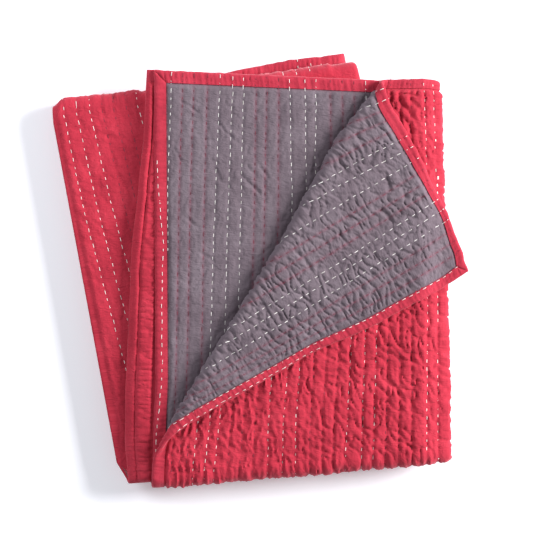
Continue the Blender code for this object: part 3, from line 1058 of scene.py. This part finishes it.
def cloth_piece(name, node, bottom, outward, material):
    """A puckered cloth on its solid's folds."""
    bm = cloth_flat(node, bottom, outward)
    remember_flat(bm)
    fold_up(bm)
    piece = make_piece(name, bm, material)
    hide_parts(node)


def binding_piece(name, node, length, corner, turn, material):
    """A pleated strip of binding on its solid's folds."""
    bm = binding_flat(node, length, corner, turn)
    remember_flat(bm)
    fold_up(bm)
    piece = make_piece(name, bm, material)
    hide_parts(node)


# ---- stitches


def thread_pattern():
    """One stitch, a unit long and wide, as a pattern for all the others."""
    bpy.ops.object.select_all(action="DESELECT")
    bpy.ops.mesh.primitive_cylinder_add(
        vertices=6, radius=0.5, depth=1 - 2 * TIP_LONG, end_fill_type="NGON"
    )
    pattern = bpy.context.object
    bpy.ops.object.mode_set(mode="EDIT")
    bpy.ops.mesh.select_mode(type="FACE")
    for end in (1, -1):
        bpy.ops.mesh.select_all(action="DESELECT")
        shape = bmesh.from_edit_mesh(pattern.data)
        for face in shape.faces:
            face.select = face.normal.z * end > BROAD
        bmesh.update_edit_mesh(pattern.data)
        tip = (0.0, 0.0, TIP_LONG * end)
        bpy.ops.mesh.extrude_region_move(TRANSFORM_OT_translate={"value": tip})
        narrow = (TIP_NARROW, TIP_NARROW, 1.0)
        bpy.ops.transform.resize(value=narrow, center_override=(0.0, 0.0, 0.5 * end))
    bpy.ops.object.mode_set(mode="OBJECT")
    corners = [v.co.copy() for v in pattern.data.vertices]
    faces = [tuple(p.vertices) for p in pattern.data.polygons]
    bpy.data.objects.remove(pattern, do_unlink=True)
    return corners, faces


PATTERN = thread_pattern()
Stitch = namedtuple("Stitch", "x y side length lean zone")


def surface_rise(stitch, x, y):
    """How far the binding or the puckered cloth rises under a stitch."""
    trim = trim_at(x, y, stitch.side)
    return height(stitch.zone, x, y) if trim is None else trim


def lay_stitch(bm, stitch):
    """Lays one stitch on the flat cloth: its ends dive into it."""
    corners, faces = PATTERN
    flat_x, flat_y = flat_layers(bm)
    surface = BACK_SURFACE if stitch.side > 0 else FACE_SURFACE
    pulled = FACE_PULLED if stitch.zone.name == "top" else 0.0
    made = []
    for corner in corners:
        along = corner.z * stitch.length
        x = stitch.x + corner.x * THREAD + along * stitch.lean
        y = stitch.y + along
        lift = surface_rise(stitch, stitch.x + along * stitch.lean, y)
        sunk = pulled + THREAD_DIVE * (2 * abs(corner.z)) ** 4
        out = lift + THREAD_OUT + corner.y * THREAD_FLAT * THREAD - sunk
        point = bm.verts.new((x, y, surface + stitch.side * out))
        point[flat_x], point[flat_y] = stitch.x, stitch.y
        made.append(point)
    for face in faces:
        bm.faces.new([made[k] for k in face])


def stitches_of(sewing_name, zone_name, side, thread):
    """The stitches of one colour that show in a zone."""
    sewing = SEWINGS[sewing_name]
    zone = next(z for z in (*ZONES, FLOOR_ZONE) if z.name == zone_name)
    found = []
    for row in sewing.rows:
        if row.thread != thread:
            continue
        start = row_x(sewing, row, 0.0)
        half = 0.5 if side > 0 else 0.0
        first = math.ceil(stitch_phase(start, zone.from_y - BINDING) - half)
        last = math.floor(stitch_phase(start, zone.to_y) - half)
        for k in range(first, last + 1):
            y = (k + half) * STITCH_PITCH
            for _ in range(3):
                y -= (stitch_phase(start, y) - k - half) * STITCH_PITCH
            x = row_x(sewing, row, y)
            if shows(zone_name, x, y) < HIDDEN or not MM * row.start < y < MM * row.end:
                continue
            slope = row_x(sewing, row, y + SLOPE_OVER) - row_x(sewing, row, y - SLOPE_OVER)
            slope /= 2 * SLOPE_OVER
            jitter = unevenness(start * 53.0, k * 1.7, 0.5)
            lean = slope + UNEVEN_LEAN * unevenness(start * 31.0, k * 2.3, 6.5)
            length = STITCH * (1 + UNEVEN_LENGTH * jitter)
            aside = UNEVEN_ASIDE * unevenness(start * 17.0, k * 1.3, 2.5)
            found.append(Stitch(x + aside, y, side, length, lean, zone))
    return found


# Where stitches show: by which sewing, in which zone and on which side. Side -1 is the face.
SEWN = (
    ("turned", "top", -1),
    ("turned", "flap", 1),
    ("inner", "under_flap", 1),
    ("spine", "lower", -1),
    ("turned", "front_fold", -1),
    ("spine", "head_fold", -1),
    ("floor", "floor", -1),
    ("trim", "under_flap", 1),
)


def thread_piece(name, thread, material):
    """All the stitches of one colour, as one piece."""
    bm = bmesh.new()
    for sewing_name, zone_name, side in SEWN:
        for stitch in stitches_of(sewing_name, zone_name, side, thread):
            lay_stitch(bm, stitch)
    bmesh.ops.recalc_face_normals(bm, faces=bm.faces)
    fold_up(bm, cut=False)
    make_piece(name, bm, material)


# ---- materials


def linear(hex_colour):
    """An sRGB hex colour as linear RGBA."""
    parts = [int(hex_colour[k : k + 2], 16) / 255 for k in (1, 3, 5)]
    return (*((c / 12.92 if c <= 0.04045 else ((c + 0.055) / 1.055) ** 2.4) for c in parts), 1.0)


def add(tree, kind, inputs=None, **settings):
    """Adds a node: settings are its properties, and inputs are values or other nodes' outputs."""
    node = tree.nodes.new(kind)
    for key, value in settings.items():
        setattr(node, key, value)
    for key, value in (inputs or {}).items():
        if isinstance(value, bpy.types.NodeSocket):
            tree.links.new(value, node.inputs[key])
        else:
            node.inputs[key].default_value = value
    return node


# The cloth's patterns, in waves a metre: its faded patches, its slubs (across and along the yarn),
# its fine wrinkles (along and across the rows) and its yarns. Real yarn lies about 0.5 mm apart,
# which is too fine to show, so it is drawn at 1.1 mm, twice as coarse. A fine wrinkle is 4 to 9 mm
# long, as in washed cotton, and a slub 6 mm.
PATCHES = 28.0
SLUBS = (1800.0, 160.0, 1.0)
WRINKLES = (110.0, 240.0, 1.0)
YARNS = (900.0, 900.0, 1.0)
UNDER_AND_SEAM_SHADE_SHARE = 0.36


def start_material(name, values):
    """A new material with its shader's plain values set, ready for more nodes."""
    made = bpy.data.materials.new(name)
    made.use_nodes = True
    shader = made.node_tree.nodes["Principled BSDF"]
    for key, value in values.items():
        shader.inputs[key].default_value = value
    return made, made.node_tree, shader


def cotton(name, shade, middle, light, weave, wrinkle, fuzz, under=None):
    """Plain-woven cotton: yarn by yarn colour, soft fine wrinkles and a dry, faintly furry finish.

    The weave and the wrinkle are heights. What lies under a thin cloth shows through it in places,
    and its colour is also painted along the seams as shade.
    """
    finish = {
        "Metallic": 0.0,
        "Roughness": 0.88,
        "Sheen Weight": 0.35,
        "Sheen Roughness": 0.45,
        "Sheen Tint": linear(fuzz),
        "Specular IOR Level": 0.25,
    }
    made, tree, shader = start_material(name, finish)
    flat = add(tree, "ShaderNodeUVMap", uv_map="flat").outputs["UV"]
    patches = add(
        tree, "ShaderNodeTexNoise", {"Vector": flat, "Scale": PATCHES, "Detail": 3.0}
    ).outputs["Fac"]
    slubs = add(tree, "ShaderNodeMapping", {"Vector": flat, "Scale": SLUBS})
    slubs = slubs.outputs["Vector"]
    slub = add(
        tree, "ShaderNodeTexNoise", {"Vector": slubs, "Scale": 1.0, "Detail": 1.0}
    ).outputs["Fac"]
    both = add(tree, "ShaderNodeMix", {"Factor": 0.35, "A": patches, "B": slub}, data_type="FLOAT")
    ramp = add(tree, "ShaderNodeValToRGB", {"Fac": both.outputs["Result"]})
    ramp.color_ramp.elements[0].position = 0.30
    ramp.color_ramp.elements[0].color = linear(shade)
    ramp.color_ramp.elements[1].position = 0.72
    ramp.color_ramp.elements[1].color = linear(light)
    ramp.color_ramp.elements.new(0.50).color = linear(middle)
    colour = ramp.outputs["Color"]
    if under:
        # The under colour, mixed in by the attribute: red showing through by the rows, and painted
        # shade at the seams.
        seen = add(tree, "ShaderNodeAttribute", attribute_name="shows_through_and_seam_shade").outputs["Fac"]
        part = {0: seen, 1: UNDER_AND_SEAM_SHADE_SHARE}
        share = add(tree, "ShaderNodeMath", part, operation="MULTIPLY").outputs[0]
        inputs = {"Factor": share, "A": colour, "B": linear(under)}
        colour = add(tree, "ShaderNodeMix", inputs, data_type="RGBA").outputs["Result"]
    tree.links.new(colour, shader.inputs["Base Color"])
    stretched = add(tree, "ShaderNodeMapping", {"Vector": flat, "Scale": WRINKLES})
    fine = add(
        tree,
        "ShaderNodeTexNoise",
        {"Vector": stretched.outputs["Vector"], "Scale": 1.0, "Detail": 2.0, "Distortion": 0.6},
    ).outputs["Fac"]
    centred = add(tree, "ShaderNodeMath", {0: fine, 1: 0.5}, operation="SUBTRACT").outputs[0]
    folded = add(tree, "ShaderNodeMath", {0: centred}, operation="ABSOLUTE").outputs[0]
    crease = add(
        tree, "ShaderNodeBump", {"Height": folded, "Strength": 0.9, "Distance": wrinkle}
    ).outputs["Normal"]
    threads = add(tree, "ShaderNodeMapping", {"Vector": flat, "Scale": YARNS})
    check = add(
        tree, "ShaderNodeTexVoronoi", {"Vector": threads.outputs["Vector"], "Scale": 1.0},
        feature="F1", distance="CHEBYCHEV",
    ).outputs["Distance"]
    cloth = add(
        tree,
        "ShaderNodeBump",
        {"Height": check, "Strength": 0.35, "Distance": weave, "Normal": crease},
        invert=True,
    ).outputs["Normal"]
    tree.links.new(cloth, shader.inputs["Normal"])
    return made


def sewing_thread(name, middle, light):
    """Three-ply cotton thread: plain, dry, with a painted highlight, a lighter tone, where its
    plies turn up.
    """
    finish = {"Metallic": 0.0, "Roughness": 0.8, "Sheen Weight": 0.2}
    made, tree, shader = start_material(name, finish)
    flat = add(tree, "ShaderNodeUVMap", uv_map="flat").outputs["UV"]
    ply_highlight_map = add(tree, "ShaderNodeMapping", {"Vector": flat, "Rotation": (0, 0, 0.8)})
    wave = add(
        tree, "ShaderNodeTexWave", {"Vector": ply_highlight_map.outputs["Vector"], "Scale": 300.0}
    ).outputs["Fac"]
    # Painted highlight: bands of the lighter tone stand for the light on the plies that turn up.
    colour = add(
        tree, "ShaderNodeMix", {"Factor": wave, "A": linear(middle), "B": linear(light)},
        data_type="RGBA",
    )
    tree.links.new(colour.outputs["Result"], shader.inputs["Base Color"])
    return made


def plaster_floor(name):
    """A matt white board that is lit from below, so that it stays pale where shadows fall."""
    finish = {
        "Base Color": linear("#ECEEF6"),
        "Roughness": 0.9,
        "Emission Color": linear("#FDFDFF"),
        "Emission Strength": 0.24,
    }
    return start_material(name, finish)[0]


# ---- studio


def make_camera():
    """Straight above the bundle, as in the photo, from three metres."""
    data = bpy.data.cameras.new("camera")
    camera = bpy.data.objects.new("camera", data)
    bpy.context.scene.collection.objects.link(camera)
    camera.location = (VIEW_X, VIEW_Y, VIEW_HEIGHT)
    data.sensor_width = 36.0
    data.lens = data.sensor_width * (VIEW_HEIGHT - VIEW_LEVEL) / VIEW_SPAN
    data.clip_end = 20.0
    bpy.context.scene.camera = camera


def area_light(name, place, size, power, colour):
    """A soft box that points at the bundle."""
    data = bpy.data.lights.new(name, "AREA")
    data.shape = "SQUARE"
    data.size = size
    data.energy = power
    data.color = colour
    light = bpy.data.objects.new(name, data)
    light.location = place
    light.rotation_mode = "QUATERNION"
    light.rotation_quaternion = (-Vector(place)).to_track_quat("-Z", "Y")
    bpy.context.scene.collection.objects.link(light)


def make_studio():
    """A pale floor, a pale room, a far window at the right and a near wall at the left."""
    bpy.ops.object.select_all(action="DESELECT")
    bpy.ops.mesh.primitive_plane_add(size=FLOOR_SIZE, location=(0.0, 0.0, 0.0))
    floor = bpy.context.object
    floor.name = "floor"
    floor.data.materials.append(plaster_floor("matt white board"))
    room = bpy.data.worlds.new("room")
    bpy.context.scene.world = room
    room.use_nodes = True
    sky = room.node_tree.nodes["Background"]
    sky.inputs["Color"].default_value = (0.965, 0.975, 1.0, 1.0)
    sky.inputs["Strength"].default_value = 0.30
    area_light("window", (3.75, 0.95, 1.95), 1.6, 403.0, (1.0, 0.985, 0.965))
    area_light("near wall", (-1.15, 0.75, 0.90), 0.8, 15.0, (0.97, 0.98, 1.0))
    bpy.context.scene.view_settings.view_transform = "Standard"


# Where the camera looks straight down from, and how wide a span it takes in at the level of the
# quilt's top.
VIEW_X = 0.0113
VIEW_Y = -0.0006
VIEW_HEIGHT = 3.0
VIEW_LEVEL = 0.045
VIEW_SPAN = 0.594
FLOOR_SIZE = 12.0

make_camera()
# Washed cotton from a hand loom, dyed in the piece: uneven yarns give a soft mottle, and the fuzz
# of wear gives a dry, paler rim.
RED = cotton(
    "red handloom cotton", "#9A2033", "#AF283C", "#BD3548", 0.0004, 0.0020, "#F0BCC4"
)
# The same in grey, but thinner: the red face shows through it as a plum tint by the red rows,
# and the plum is painted along its seams as shade.
GREY = cotton(
    "grey handloom cotton", "#5C5059", "#695D66", "#766B74", 0.0004, 0.0018, "#C4C0CC", "#7E3E52"
)
# A straight-cut strip of the red cotton, pressed before it was sewn on: it has finer wrinkles.
TRIM = cotton("red cotton binding", "#982337", "#AC2A3E", "#BA384B", 0.0004, 0.0010, "#F0BCC4")
# Plain sewing cotton, pale, so that each stitch reads as a dash.
CREAM = sewing_thread("cream cotton thread", "#DAD6D2", "#F6F4F2")
# The same thread dyed dark, so that its stitches all but sink into the red cloth.
CRIMSON = sewing_thread("crimson cotton thread", "#5E1A2C", "#7A2A3E")

cloth_piece("red_face_cloth", "face_cloth", UNDER, -1, RED)
cloth_piece("grey_back_cloth", "back_cloth", UNDER + CLOTH + CLOTH_GAP, 1, GREY)
for name, length, corner, turn in (
    ("binding_top_end", WIDTH, (0.0, 0.0), 0),
    ("binding_inner_side", LENGTH, (WIDTH, 0.0), 90),
    ("binding_floor_end", WIDTH, (WIDTH, LENGTH), 180),
    ("binding_turned_side", LENGTH, (0.0, LENGTH), -90),
):
    binding_piece(name.replace("binding", "pleated_binding"), name, length, corner, turn, TRIM)
thread_piece("cream_stitches", "cream", CREAM)
thread_piece("red_stitches", "red", CRIMSON)
make_studio()
